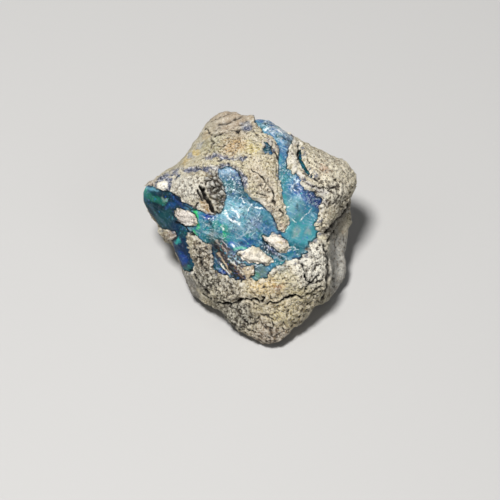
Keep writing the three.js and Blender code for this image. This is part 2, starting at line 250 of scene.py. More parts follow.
net = {
    "frontBias": 0.32,  # how far its points are drawn round to the front
    "rockCount": 128,   # steps along a cube's edge
    "opalCount": 158,
}


def ballNet(count):
    steps = np.tan(np.linspace(-1, 1, count + 1) * math.pi / 4)
    across, up = np.meshgrid(steps, steps, indexing="ij")
    index = np.arange((count + 1) ** 2).reshape(count + 1, count + 1)
    square = np.stack([index[:-1, :-1], index[1:, :-1], index[1:, 1:], index[:-1, 1:]], axis=-1).reshape(-1, 4)
    points, quads = [], []
    for axis in range(3):
        for side in (1, -1):
            sheet = np.stack([across, up, np.full_like(across, side)], axis=-1).reshape(-1, 3)
            points.append(np.roll(sheet, axis, axis=1))
            corners = square if side > 0 else square[:, ::-1]
            quads.append(corners + (len(points) - 1) * (count + 1) ** 2)
    kept, place = np.unique(np.round(np.concatenate(points), 6), axis=0, return_inverse=True)
    directions = unit(kept)
    directions[:, 2] += net["frontBias"]
    return unit(directions), place.ravel()[np.concatenate(quads)]


def sidesOf(quads):
    return np.concatenate([np.stack([quads[:, i], quads[:, (i + 1) % 4]], 1) for i in range(4)])


def spread(values, edges, rounds, share=1.0):  # evens a value out over neighbours
    count = len(values)
    degree = np.bincount(edges.ravel(), minlength=count)
    for _ in range(rounds):
        total = sum(np.bincount(edges[:, i], values[edges[:, 1 - i]], count) for i in (0, 1))
        values = values + (total / degree - values) * share
    return values


def pointNormals(points, quads):
    a, b, c, d = (points[quads[:, i]] for i in range(4))
    faceNormals = np.cross(c - a, d - b)
    total = np.zeros_like(points)
    for corner in range(4):
        for axis in range(3):
            total[:, axis] += np.bincount(quads[:, corner], faceNormals[:, axis], len(points))
    return unit(total)


# What the solids say about the skin, on one net

crust = {
    "radius": 18,        # about how far the skin lies from the middle
    "ledge": 0.6,        # how far the solids' rock stands above the bared opal
    "ragged": 0.3,       # how far the opal's outline wanders
    "raggedSize": 1.1,
    "opalDepth": 3.0,    # thickness of the bared opal
    "pocketGap": 0.25,   # room under it
    # a groove of the solids that is cut finer below
    "filled": [-92, 84, -84, 70, -77, 56, -70, 43, -62, 26],
    "filledWidth": 1.7,
}

# Strips where the visible outline of the opal is drawn finer than in the solids: line, half-width
trims = {
    "rock": [
        ([91, 164, 84, 146, 83, 128, 89, 110, 100, 94, 116, 81, 134, 71], 5.5),
        ([30, 169, 41, 159, 47, 146, 48, 132], 5), ([20, 166, 23, 156, 24, 144, 32, 136], 3.5),
        ([-146, 90, -142, 100, -130, 108], 4), ([35, -16, 50, -20, 62, -32], 8),
    ],
    "opal": [
        ([14, 210, 32, 208, 50, 199, 66, 186, 79, 173], 5.5),
        ([93, 156, 95, 140, 98, 123, 105, 110, 114, 100], 3.4),
        ([-143, 38, -122, 42, -103, 35, -99, 16, -101, 1], 3),
        ([-101, 1, -120, -1, -143, 7, -146, 24, -143, 38], 3),
        ([-74, -26, -74, -40, -72, -56, -69, -74, -56, -89], 3), ([27, -26, 38, -37, 48, -48], 3),
    ],
}


def trimmed(points, bared):
    stirred = stir(points, 0.2, 0.8, 45)
    for kind, strips in trims.items():
        for line, halfWidth in strips:
            bared = np.where(lineDistance(stirred, line) < halfWidth / 10, kind == "opal", bared)
    return bared


def readSkin(directions, edges, evening):
    reach, isOpal = castSkin(directions)
    ball = directions * crust["radius"]
    _, bared = castSkin(unit(stir(ball, crust["ragged"], crust["raggedSize"], 40, 4)))
    bared = trimmed(directions * reach[:, None], bared)
    skin = reach + crust["ledge"] * isOpal
    # The narrow joint between the solids is bridged from both sides of it.
    joint = np.abs(spread(isOpal.astype(float), edges, 2) - isOpal) > 0.01
    rough = spread(skin, edges, 6)
    skin = np.where(joint & (skin < rough), rough, skin)
    skin = spread(skin, edges, 40, joint * 0.9)
    groove = lineDistance(directions * reach[:, None], crust["filled"], 5) < crust["filledWidth"]
    skin = spread(skin, edges, 150, groove * 0.9)
    return spread(skin, edges, evening, 0.6), spread(bared.astype(float), edges, 2, 0.7)


def borderDistance(directions, skin, edges, bared):  # from each point to the opal's outline
    points = directions * skin[:, None]
    a, b = edges[(bared[edges[:, 0]] > 0.5) != (bared[edges[:, 1]] > 0.5)].T
    border = (points[a] + points[b]) / 2
    tree = KDTree(len(border))
    for i, point in enumerate(border.tolist()):
        tree.insert(point, i)
    tree.balance()
    return np.array([tree.find(point)[2] for point in points.tolist()])


# The stone's lower outline seen from the front, where the skin is drawn in from the solids
foot = {
    "line": [-300, -26, -149, -28, -142, -44, -135, -64, -128, -84, -121, -104, -112, -121, -101, -132, -86, -143,
        -70, -149, -58, -155, -48, -165, -39, -180, -25, -194, -10, -204, 5, -213, 21, -220, 39, -223, 52, -219,
        63, -211, 73, -200, 86, -188, 101, -176, 114, -164, 121, -152, 128, -144, 138, -146, 150, -139, 162, -126,
        170, -109, 180, -94, 185, -78, 183, -60, 180, -48, 184, -36, 186, -10, 188, 10, 400, 15],
    "margin": 0.7,  # how far inside the line the drawing in begins
}


def drawnIn(points):
    line, margin = np.reshape(foot["line"], (-1, 2)) / 10, foot["margin"]
    steps = np.diff(line, axis=0)
    flat = points[:, None, :2] - line[:-1]
    along = np.clip((flat * steps).sum(axis=2) / (steps**2).sum(axis=1), 0, 1)
    away = flat - along[:, :, None] * steps
    distance = np.linalg.norm(away, axis=2)
    nearest = distance.argmin(axis=1)
    chosen = np.arange(len(points)), nearest
    away, distance, step = away[chosen], distance[chosen], steps[nearest]
    side = np.where(away[:, 0] * step[:, 1] > away[:, 1] * step[:, 0], 1, -1)
    beyond = side * distance
    target = np.where(beyond > -margin, -margin * np.exp(-np.maximum(beyond + margin, 0) / margin), beyond)
    drawn = points.copy()
    drawn[:, :2] += away * (side * (target - beyond) / np.maximum(distance, 1e-6))[:, None]
    return drawn


print("stone: reading the solids")
rockWays, rockQuads = ballNet(net["rockCount"])
rockEdges = np.unique(np.sort(sidesOf(rockQuads), axis=1), axis=0)
rockSkin, rockBared = readSkin(rockWays, rockEdges, 8)
opalWays, opalQuads = ballNet(net["opalCount"])
opalEdges = np.unique(np.sort(sidesOf(opalQuads), axis=1), axis=0)
opalSkin, opalBared = readSkin(opalWays, opalEdges, 30)


# Fractures: line, half-width, depth, wobble, and slack where it has its own

fractures = {
    "longLeft": ([-86, -126, -76, -135, -56, -143, -31, -142, -16, -135, 2, -137, 10, -133, 19, -136, 26, -133],
        2.4, 7, 3.5),
    "longRight": ([34, -143, 54, -139, 65, -133, 76, -129, 88, -128, 97, -132], 2.2, 5.5, 3),
    "forkStem": ([97, -64, 99, -76, 102, -92, 107, -99, 115, -105], 2.2, 5, 2.5),
    "forkBranches": ([129, -88, 121, -97, 115, -105, 107, -113], 2.2, 4.5, 2.5),
    "forkFoot": ([115, -106, 124, -103, 136, -100], 2, 3.5, 2.5),
    "hip": ([106, -127, 117, -121, 124, -115, 133, -110], 2.2, 3.5, 2.5),
    "tongue": ([4, 109, 11, 102, 19, 97, 27, 85, 35, 78, 40, 69, 43, 62, 42, 52, 47, 41, 54, 34, 60, 30, 64, 20],
        1.8, 3.4, 2.5),
    "tongueSide": ([12, 64, 20, 63, 29, 59], 2, 3, 2),
    "crown": ([-65, 174, -55, 179, -36, 184, -17, 185, -8, 190, 1, 195], 2.6, 7, 1.5),
    "crownLayer": ([-60, 196, -46, 199, -36, 203, -24, 209, -15, 214], 3.6, 2.2, 2),
    "crownFold": ([-84, 189, -73, 176, -69, 160, -76, 146], 3, 2.5, 3),
    "slot": ([-92, 77, -86, 65, -79, 51, -72, 38, -66, 29], 3.7, 24, 2.6, 30),
    "slotLip": ([-98, 70, -92, 61, -88, 53], 2.6, 7, 1.5, 30),
    "patchFoot": ([-146, 64, -134, 53, -125, 42, -114, 35, -103, 32, -99, 46], 2.4, 4, 2),
    "chipFoot": ([-140, 10, -128, 6, -118, -3, -112, -11, -103, -20], 2.4, 5, 2),
    "blockFoot": ([109, 99, 118, 94, 127, 88], 2.2, 4, 1.5),
    "blockLow": ([119, 77, 132, 75, 146, 73, 160, 76], 2.2, 3.5, 3),
    "veinEdge": ([93, 158, 91.5, 144, 90, 130], 2.6, 6, 1.2),
    "neckEdge": ([41, 162, 42, 150, 48, 140, 53, 129], 2.4, 5, 2),
    "blockShadow": ([187, 46, 174, 25, 161, 9, 150, -2, 141, -9], 4, 7, 1.5, 8),
    "underLump": ([161, -7, 152, -15, 145, -25], 2.8, 6, 2),
    "shoulderEdge": ([139, -33, 144, -50, 147, -70, 148, -86, 144, -102, 145, -115, 139, -130, 131, -144], 3.6,
        4.5, 3.5),
    "lowerLeft": ([-110, -78, -101, -95, -89, -111, -76, -126], 3, 6, 3),
    "footCurl": ([10, -174, 18, -164, 30, -163, 40, -172, 44, -184, 40, -194], 2, 3, 3),
    "footLine": ([-16, -170, -6, -183, 6, -181, 16, -176], 2, 3, 3),
    "rubble": ([-106, -40, -96, -56, -92, -73, -79, -82], 2.4, 5, 4),
}


def fractureDepth(points):  # 0 outside the fractures, up to their depth inside
    wobbly = wander(points, 1.1, 60, 2)
    depth = np.zeros(len(points))
    for line, width, deepest, wobble, *slack in fractures.values():
        share = lineShare(points + wobbly * (wobble / 10), line, width, 0.3, 1.15, (slack or [12])[0] / 10)
        depth = np.maximum(depth, deepest / 10 * share)
    return depth


# Stained seams, where the opal thins out into the rock: line, half-width

seams = {
    "paleChip": ([-180, 76, -176, 87, -164, 96, -151, 92, -152, 82, -154, 70], 3),
    "abovePatch": ([-174, 95, -160, 100, -150, 104, -132, 111, -115, 110, -95, 111, -75, 110, -62, 115, -44, 118,
        -29, 115, -19, 105, -12, 92, -10, 78, -5, 67], 4.5),
    "upperBand": ([-80, 131, -66, 137, -54, 133, -35, 131, -10, 130], 4),
    "crownEnd": ([-9, 188, 0, 192], 6),
    "patchCorner": ([-122, 39, -112, 36, -104, 34], 5),
}


def seamShare(points):
    stirred = stir(points, 0.4, 0.9, 64, 3)
    return np.max([lineShare(stirred, line, width, 0.4, 1.5, 1.5) for line, width in seams.values()], axis=0)


# Host rock

rockRelief = {
    # size and height of each kind, in millimetres
    "lumps": (3.4, 0.26),
    "plates": (2.3, 0.42),
    "chips": (1.05, 0.3),
    "knobs": (0.9, 0.22),
    "grains": (0.45, 0.18),
    "terraces": (4.6, 0.6),    # on the back
    "beds": (1.7, 0.18),       # the crown's layers
    # spacing, radius and share of places, and the depth
    "pits": ((1.7, 0.3, 0.4), 0.42),
    "pores": ((0.7, 0.13, 0.45), 0.22),
    "scores": 0.3,
    "brokenEdge": 0.2,         # how far the crust crumbles away towards the opal
    "smoothing": 0.8,          # how much of this the smooth zones lose
    "knobbySize": 1.05,
    "knobbyDepth": 1.2,
    "knobbyLevel": 0.75,       # how much of a knob lies below the rock around it
    "seamDepth": 0.3,
}

smoothZones = [
    (-115, 146, 75, 26, 52, 100), (-40, 210, 55, 24, 10, 80), (176, 0, 18, 30, 30, 90), (166, -80, 26, 70, 0, 50),
    (-112, -108, 16, 44, 25, 90), (-124, 16, 20, 16, 0, 60), (-10, -88, 20, 14, 0, 70), (10, -54, 32, 16, -20, 75),
    (48, -25, 24, 15, -25, 65), (-164, 82, 14, 13, 0, 70),
]
knobbyZones = [
    (-74, 89, 13, 16, 0, 100), (-62, 79, 18, 26, 0, 100), (-56, 54, 15, 30, 20, 100),
]
# where the rock has slanting scores
scoreZones = [
    (-30, -166, 36, 34, 0, 100), (-86, -62, 24, 38, 10, 90), (-60, -115, 30, 20, 0, 70), (120, -114, 26, 26, 0, 70),
    (-60, 150, 40, 30, 0, 50),
]
# where it is coarsely speckled, pale and black
gritZones = [
    (-86, -60, 26, 42, 10, 100), (-55, -115, 44, 26, -15, 100), (-26, -170, 38, 30, -40, 100),
    (35, -200, 40, 26, 0, 100), (30, -145, 60, 30, 0, 60), (114, -70, 34, 50, 0, 90), (90, -155, 34, 24, 40, 80),
    (155, 65, 36, 26, -10, 100), (155, 120, 40, 30, 0, 40), (-112, 74, 32, 30, 0, 60), (134, 20, 12, 30, 0, 90),
]


def knobbyPatch(points):  # its share, and how high each point stands on a knob, 0 in the gaps
    share = mostOf(stir(points, 0.4, 1.4, 91), knobbyZones)
    near, far, _ = cells(stir(points, 0.2, 1, 93), rockRelief["knobbySize"], 94)
    return share, rise(far - near, 0.08, 0.5) * (1 - 0.5 * near)


def slantingTone(points, u, v, turn, thickness, length, seed):  # long narrow bands of noise
    along, across, out = zoneAxes(points, u, v, turn).T
    bent = across + 0.04 * along**2
    return layeredWaves(np.stack([along / length, bent / thickness, out / length], axis=1), 1, seed, 3)


def scoreShare(points):  # 1 in the slanting scores, 0 between them
    stirred = stir(points, 0.3, 1.5, 23)
    return rise(slantingTone(stirred, 0, 0, -48, 0.5, 1.8, 24), 0.05, 0.5) * mostOf(points, scoreZones)


def reliefOfRock(points, back):
    stirred = stir(points, 0.35, 2.2, 8)

    def broken(kind, seed):
        size, height = rockRelief[kind]
        return height * plates(stirred, size, seed)

    relief = broken("plates", 11) * rise(waves(points, 6, 21), -0.6, 0.2) + broken("chips", 12)
    size, height = rockRelief["knobs"]
    near, _, _ = cells(stirred, size, 13)
    relief += height * (0.55 - near) * rise(waves(points, 3.5, 22), -0.2, 0.4)
    size, height = rockRelief["grains"]
    near, _, cell = cells(points, size, 14)
    relief += height * (0.5 - near) * (0.4 + 1.2 * cellHash(*cell.T, 15))
    for kind, seed in (("pits", 16), ("pores", 17)):
        places, depth = rockRelief[kind]
        relief -= depth * holes(stirred, *places, seed)
    relief -= rockRelief["scores"] * scoreShare(points)
    relief *= 1 - rockRelief["smoothing"] * mostOf(points, smoothZones)
    relief += back * broken("terraces", 18)
    size, height = rockRelief["lumps"]
    relief += height * layeredWaves(points, size, 3, 3)
    size, height = rockRelief["beds"]
    across = (points @ np.array([-0.35, 0.9, 0.25]) + 0.8 * waves(points, 5, 31)) / size
    bed = across - np.floor(across)
    relief += zoneShare(points, -50, 200, 65, 32, 12, 100) * height * (bed - 1.6 * rise(bed, 0.66, 1))
    return relief - relief.mean()


rockBase = (0.56, 0.505, 0.345)
# Knob colours: the first is painted shade, near-black in the gaps between knobs; the second is the knobs' own
# colour.
knobGapShade, knobTop = np.array([0.010, 0.016, 0.014]), np.array([0.44, 0.45, 0.44])

# Stains and kinds of rock
rockZones = [
    # pinkish crown
    (-45, 206, 58, 30, 8, 95, 34, 27, 20), (-68, 192, 20, 13, 20, 50, 40, 36, 30),
    (-7, 192, 10, 6, 10, 80, 16, 22, 34),
    # smooth slope on the left
    (-115, 146, 75, 24, 52, 90, 36, 33, 24), (-100, 145, 10, 7, 40, 70, 52, 38, 12),
    (-121, 126, 11, 6, 40, 70, 50, 38, 16), (-112, 135, 9, 5, 40, 70, 20, 23, 30),
    (-94, 156, 9, 5, 40, 70, 22, 25, 30), (-82, 176, 14, 8, 60, 50, 50, 38, 22),
    # crust under the crown
    (-68, 154, 24, 20, 20, 70, 36, 34, 20), (-30, 152, 24, 15, 10, 80, 50, 32, 13),
    (-16, 173, 16, 10, 0, 50, 56, 46, 34), (27, 159, 9, 6, 0, 70, 16, 13, 18), (44, 148, 8, 14, 0, 60, 36, 31, 26),
    (3, 149, 17, 12, 0, 80, 66, 54, 18), (-52, 122, 34, 5, 0, 70, 62, 57, 38), (25, 112, 20, 20, 0, 50, 60, 52, 33),
    # the tongue
    (30, 70, 16, 60, 24, 70, 66, 58, 47),
    # chips in the opal
    (4, -56, 32, 18, -20, 95, 74, 69, 60), (48, -26, 24, 16, -20, 95, 74, 69, 63),
    (55, -30, 7, 4, 0, 70, 46, 36, 18), (-7, -84, 19, 14, 0, 95, 46, 37, 25), (-19, -85, 7, 13, 30, 80, 13, 9, 7),
    (62, -10, 9, 16, 0, 60, 60, 44, 36),
    # whitish speckled patch
    (-116, 76, 36, 24, -10, 95, 62, 60, 53), (-114, 38, 11, 6, 0, 80, 20, 15, 15),
    (-163, 82, 13, 12, 0, 95, 82, 80, 74), (-194, 90, 14, 9, 0, 70, 34, 28, 27),
    (-123, 17, 23, 20, 0, 95, 76, 70, 65), (-82, 40, 10, 15, 30, 95, 36, 21, 6), (-76, 20, 12, 8, 30, 85, 3, 6, 20),
    # the block and its foot
    (85, 145, 11, 34, 12, 70, 58, 54, 44), (116, 99, 16, 9, -35, 70, 60, 55, 48),
    (155, 110, 50, 46, 0, 85, 80, 73, 56), (154, 60, 30, 20, 0, 50, 60, 60, 53),
    (120, 145, 25, 16, -20, 50, 46, 41, 30), (140, 111, 10, 8, 0, 70, 36, 17, 9),
    (170, 53, 22, 24, 0, 50, 46, 41, 30), (142, 20, 10, 24, 0, 50, 60, 54, 40),
    # whitish flank
    (114, -65, 34, 42, 0, 95, 88, 86, 77), (58, -78, 12, 9, 0, 90, 24, 26, 22),
    # tan foot
    (40, -170, 70, 50, 0, 75, 56, 45, 26), (32, -110, 34, 16, 0, 80, 66, 48, 20),
    (64, -94, 20, 12, 0, 60, 70, 62, 38), (100, -122, 24, 12, 20, 50, 66, 56, 26),
    (52, -114, 9, 7, 0, 85, 25, 10, 4), (95, -154, 30, 14, 30, 50, 50, 40, 20),
    (-36, -120, 26, 14, -20, 60, 52, 46, 33), (64, -162, 30, 20, 25, 60, 66, 56, 28),
    (15, -150, 16, 10, 0, 50, 62, 54, 30), (-24, -164, 36, 26, -30, 85, 27, 26, 20),
    (26, -180, 14, 12, 0, 60, 34, 28, 20), (40, -208, 36, 24, 0, 85, 27, 18, 11),
    # rubble left of the folds
    (-82, -54, 26, 38, 15, 90, 22, 17.5, 11), (-86, -96, 20, 22, 30, 85, 13, 13, 10),
    (-50, -104, 30, 12, -25, 80, 22, 20, 14), (-34, -126, 24, 8, -15, 60, 36, 31, 22),
    # flank below the strip, darkened as painted shade, and the grey flank on the right
    (-114, -106, 13, 46, 25, 95, 17, 16.5, 15), (172, -70, 28, 85, 0, 85, 42, 42, 41),
    (169, -74, 11, 26, 0, 20, 56, 56, 54),
    # grey shoulder behind
    (156, -36, 9, 16, 20, 50, 56, 56, 54), (176, 6, 12, 26, 25, 70, 50, 45, 34),
    (-148, -12, 12, 12, 0, 80, 34, 24, 20),
]
rockLines = [
    ([-120, 109, -100, 110, -80, 109], 3.5, 80, 22, 20, 28), ([-72, 111, -60, 116, -50, 117], 3, 80, 66, 66, 64),
    ([-80, 133, -64, 137, -46, 134], 3, 80, 20, 17, 24), ([91, 104, 102, 89, 120, 76, 143, 66], 3, 85, 64, 62, 62),
    ([93, 96, 106, 83, 126, 71, 140, 62], 2.8, 90, 2, 2, 5), ([98, 110, 110, 97, 124, 89], 2.5, 80, 4, 3, 3),
    # In the next row the second line is painted shadow: the notch under the block's overhang, darkened.
    ([136, 56, 144, 44], 3, 70, 10, 9, 14), ([189, 44, 176, 24, 163, 8, 152, -3, 142, -10], 7.5, 80, 5, 4.3, 3.6),
    ([-78, 70, -72, 60], 2.2, 80, 20, 16, 22), ([-97, 46, -92, 32], 2.5, 80, 70, 68, 62),
    ([74, 180, 80, 170, 84, 160], 3.5, 60, 62, 60, 55), ([78, 144, 81, 124, 89, 106, 103, 89], 3, 80, 76, 73, 66),
]


def colourOfRock(points):
    ragged = stir(points, 0.7, 1.6, 101, 4)
    colour = paint(ragged, rockBase, rockZones)
    colour = paintLines(stir(points, 0.25, 0.9, 111), colour, rockLines)
    share, knob = knobbyPatch(points)
    # Painted shade: near-black low in the gaps, the knobs' own colour on their tops, by each point's height on its
    # knob.
    light = rise(knob, 0.4, 0.8)[:, None]
    return colour + (knobGapShade * (1 - light) + knobTop * light - colour) * share[:, None]


def makeRock():
    bare = drawnIn(rockWays * rockSkin[:, None])
    normals = pointNormals(bare, rockQuads)
    opalAway = borderDistance(rockWays, rockSkin, rockEdges, rockBared)
    relief = reliefOfRock(bare, rise(-normals[:, 2], 0.1, 0.5))
    patch, knob = knobbyPatch(bare)
    relief += patch * (rockRelief["knobbyDepth"] * (knob - rockRelief["knobbyLevel"]) - relief)
    cracks = fractureDepth(bare)
    stained = seamShare(bare)
    relief -= rockRelief["seamDepth"] * stained
    crumbled = rockRelief["brokenEdge"] * fade(opalAway, 0.1, 1.1)
    crumbled *= 0.6 + 0.8 * layeredWaves(bare, 0.9, 51, 3)
    sunk = (crust["ledge"] + crust["opalDepth"] + crust["pocketGap"]) * rise(rockBared, 0.4, 0.85)
    outside = fade(rockBared, 0.15, 0.55)
    points = bare + normals * ((relief - cracks - crumbled) * outside)[:, None]
    points -= rockWays * sunk[:, None]
    smooth = mostOf(bare, smoothZones)
    return points, rockQuads, {
        # crack and hollow carry where the material paints shade into the cracks and hollows
        "crack": np.clip(cracks / 0.5, 0, 1),
        "hollow": spread(relief - cracks, rockEdges, 3) - (relief - cracks),
        "opalAway": opalAway,
        "seam": stained,
        "smooth": smooth,
        "score": scoreShare(bare),
        "gritty": mostOf(stir(bare, 0.8, 2, 97), gritZones) * (1 - 0.7 * smooth),
        "grainShare": outside * (1 - smooth) * (1 - patch) * (rockBared < 0.1) * (cracks < 0.1),
    }, colourOfRock(bare)


def keepInside(points):  # row metres, kept within the solids' box and off the ground
    margin = 0.00002
    low, high = (np.array(corner) for corner in cadBox)
    return np.clip(points, low + margin * np.array([1, 1, 0]), high - margin)


def addPiece(name, mesh):
    piece = bpy.data.objects.new(name, mesh)
    bpy.context.scene.collection.objects.link(piece)
    return piece


def buildPiece(name, material, points, faces, values, colour):
    mesh = bpy.data.meshes.new(name)
    mesh.from_pydata(keepInside(moved(points, faceToRow)), [], faces.tolist())
    for key, numbers in values.items():
        layer = mesh.attributes.new(key, "FLOAT", "POINT")
        layer.data.foreach_set("value", numbers.astype(np.float32))
    layer = mesh.attributes.new("tint", "FLOAT_COLOR", "POINT")
    opaque = np.column_stack([colour, np.ones(len(colour))])
    layer.data.foreach_set("color", opaque.astype(np.float32).ravel())
    mesh.polygons.foreach_set("use_smooth", [True] * len(mesh.polygons))
    mesh.materials.append(material)
    return addPiece(name, mesh)


# Opal

opalRelief = {
    "chips": (4.6, 0.42),      # shallow shell-shaped chips: size and depth
    "smallChips": (1.7, 0.16),
    "ripples": (0.8, 0.03),
    "pits": ((1.2, 0.12, 0.25), 0.12),
    "ridges": 0.13,            # height of the slanting ridges on the dome
    "ridgeTurn": -31,          # degrees
    "crackShare": 0.6,         # how deep cracks go here, against those in the rock
    "folds": 0.3,              # height of the folded layers
    "flush": 0.4,              # how far the flush zones are raised
    "patchShare": 0.05,        # how much opal a point needs to lie in the sheet
}

# where slanting ridges show
ridgeZones = [
    (-26, 26, 44, 32, -31, 100), (5, 0, 46, 34, -31, 75), (-40, 66, 30, 30, 0, 50), (90, 66, 34, 26, -31, 60),
    (46, 186, 36, 22, -31, 80), (-14, -60, 20, 12, -31, 60),
]
# as high as the rock around them
flushZones = [
    (45, 186, 38, 13, -35, 70), (-190, 60, 16, 25, 0, 80), (-128, -40, 15, 45, 18, 80), (-40, 106, 24, 9, 0, 80),
]
# dark glass with nothing milky in it
clearZones = [
    (-164, 30, 46, 58, 0, 100), (-128, -36, 20, 54, 18, 100), (98, 130, 10, 36, 14, 100),
    (120, 51, 28, 13, -38, 85), (98, -6, 32, 32, 0, 60), (-40, -60, 50, 20, -53, 60),
]
glitterZones = [
    (92, 82, 22, 18, -30, 60), (120, 54, 24, 12, -36, 40), (70, 110, 14, 26, 0, 60), (50, 184, 32, 17, -35, 50),
    (30, 152, 14, 15, 0, 30), (-36, 86, 30, 22, 0, 60), (-138, 98, 20, 12, 40, 100), (40, -42, 22, 11, -35, 70),
    (-76, 22, 14, 8, 0, 80), (-60, -8, 50, 22, 0, 25), (-53, -84, 12, 7, -30, 60),
]
crinkleZones = [
    (-15, 30, 50, 42, -31, 100), (-40, 70, 26, 30, 0, 80), (16, -6, 40, 26, -20, 80), (96, 64, 30, 24, -36, 60),
    (46, 188, 36, 18, -33, 80), (-76, -6, 24, 20, 0, 45), (60, 130, 16, 34, 5, 50), (94, -16, 30, 26, 0, 25),
    (-20, -56, 20, 12, -31, 80),
]
# where opal and rock are folded together
foldZones = [
    (-39, -62, 47, 15.5, -53, 100), (-16, -77, 24, 13, -62, 100), (36, -42, 17, 9, -40, 80),
]


def reliefOfOpal(points, ridge, fold, foldTone):
    stirred = stir(points, 0.5, 3, 71)
    size, depth = opalRelief["chips"]
    near, _, _ = cells(stirred, size, 72)
    relief = depth * (near * near - 0.3)
    size, depth = opalRelief["smallChips"]
    near, _, cell = cells(stirred, size, 73)
    relief += depth * (near * near - 0.3) * (cellHash(*cell.T, 76) > 0.45)
    size, depth = opalRelief["ripples"]
    relief += depth * layeredWaves(points, size, 74, 3)
    places, depth = opalRelief["pits"]
    relief -= depth * holes(points, *places, 75)
    relief += opalRelief["ridges"] * ridge + opalRelief["folds"] * fold * foldTone
    return relief + opalRelief["flush"] * mostOf(points, flushZones)


opalBase = (0.045, 0.19, 0.26)

# Colours in the opal
opalZones = [
    # dark glass on the left
    (-164, 30, 44, 56, 0, 100, 0.2, 1.9, 3), (-158, 16, 16, 20, 0, 60, 0.8, 8, 9),
    (-150, 41, 11, 7, 0, 70, 1, 7, 24), (-161, 54, 5, 3.5, 0, 80, 30, 42, 36), (-197, 71, 5, 3.5, 0, 80, 3, 30, 12),
    (-134, 50, 16, 8, -45, 80, 1, 3, 13),
    # blue strip at the left
    (-128, -36, 19, 52, 18, 100, 0.3, 2, 6), (-123, -55, 5.5, 12, 20, 80, 1, 5.5, 29),
    (-134, -23, 5, 5, 0, 85, 4, 42, 40), (-124, -9, 10, 8, 0, 80, 0.4, 4.5, 5.5),
    (-116, -80, 6, 8, 0, 70, 2, 20, 20),
    # the dome, from the top down
    (-34, 80, 28, 24, 0, 90, 4.8, 11, 15), (-40, 104, 22, 8, 0, 80, 30, 42, 52), (-16, 86, 8, 18, 0, 60, 2, 7, 12),
    (-50, 46, 14, 16, 0, 60, 6, 22, 36), (-26, 24, 38, 26, -20, 85, 14, 34, 43),
    (-80, -6, 26, 24, 0, 85, 2.5, 17, 20), (-76, 21, 12, 7, 0, 90, 1.5, 4, 30),
    (-140, 99, 16, 11, 40, 95, 2, 4, 10), (-70, -12, 9, 5, 0, 70, 20, 18, 14), (-62, 4, 8, 18, 0, 50, 3, 26, 20),
    (30, 18, 16, 22, -20, 80, 8, 24, 34), (8, 6, 15, 18, -20, 80, 20, 25, 38), (36, 16, 12, 18, -30, 70, 3, 14, 18),
    (36, -6, 14, 10, -30, 80, 3.5, 11, 23), (-43, -10, 7, 17, 0, 80, 3, 33, 24),
    (-22, -16, 18, 8, 0, 70, 5, 26, 34), (2, -27, 28, 8, 8, 90, 1.8, 8, 21), (-33, -31, 6, 4, 0, 90, 2, 12, 50),
    (40, -41, 20, 8, -35, 95, 1, 1.8, 5), (-16, -58, 22, 10, -20, 85, 14, 20, 31),
    # the right-hand band
    (60, 143, 15, 28, 8, 85, 5, 17, 34), (80, 152, 9, 24, 12, 75, 26, 31, 37),
    (70, 104, 17, 24, -10, 85, 4, 17, 22), (64, 86, 9, 14, 0, 60, 3, 25, 24), (90, 76, 18, 20, -20, 80, 6, 17, 42),
    (106, 62, 34, 15, -40, 85, 3.5, 9, 30), (122, 49, 23, 13, -40, 95, 1.2, 2.5, 14),
    (82, 36, 17, 22, -20, 80, 17, 36, 40), (112, 30, 15, 12, -20, 70, 5, 22, 34),
    (98, -8, 32, 28, 0, 90, 5, 27, 31), (86, -10, 6, 9, 0, 50, 34, 36, 33), (109, -5, 6, 7, 0, 50, 34, 36, 33),
    (82, -44, 26, 15, 15, 90, 1.4, 11, 13.5), (54, -62, 12, 8, 20, 80, 2, 10, 12),
    # the top
    (24, 204, 20, 12, -20, 90, 5, 12, 30), (58, 184, 26, 15, -35, 80, 13, 22, 36),
    (67, 180, 25, 7, -42, 80, 40, 44, 44), (42, 192, 13, 5, -20, 75, 2.5, 6, 12),
    (34, 176, 10, 8, 0, 70, 10, 22, 42), (33, 150, 15, 17, 0, 95, 0.8, 4.5, 5),
    (98, 130, 9, 36, 14, 100, 0.4, 4, 4.5), (100, 122, 5, 9, 14, 70, 2, 14, 15),
    # rock folded into the opal
    (-42, -62, 52, 19, -53, 100, 1.4, 1.2, 1.4), (-68, -58, 8, 30, 6, 95, 0.6, 5, 6),
    (-53, -84, 10, 6, -30, 90, 1.5, 5, 36), (-18, -56, 22, 12, -25, 92, 2, 4.2, 8),
    # dull corner by the folds
    (18, -86, 16, 18, 0, 90, 11, 16, 14),
]
